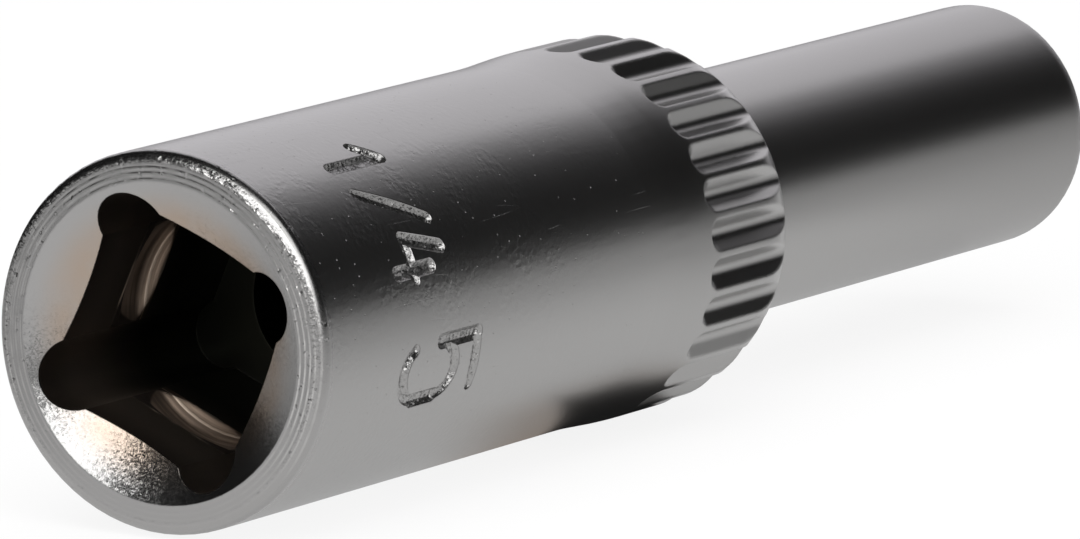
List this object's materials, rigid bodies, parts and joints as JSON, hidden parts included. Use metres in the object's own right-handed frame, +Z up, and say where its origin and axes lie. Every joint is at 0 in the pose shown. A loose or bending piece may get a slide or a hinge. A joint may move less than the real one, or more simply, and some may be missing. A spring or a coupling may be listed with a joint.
{
  "type": "hex socket",
  "caption": "Deep hex socket lying on its side: square drive recess in a smooth barrel, fluted grip ring, slim round nose with a hex mouth, magnet and spring ring inside.",
  "frame": {"origin": "centre of the drive end face, on the socket's axis", "axes": "+X along the socket's axis from the drive end to the hex mouth, +Z up as the socket lies on its side"},
  "size_m": [0.0482, 0.0114, 0.0114],
  "materials": {
    "satin_chrome": "satin chrome plate",
    "nickel": "nickel plate",
    "spring_steel": "bare drawn wire"
  },
  "bodies": {
    "root": {"socket_body": "satin_chrome", "bit_magnet": "nickel", "retaining_ring": "spring_steel"}
  },
  "joints": []
}
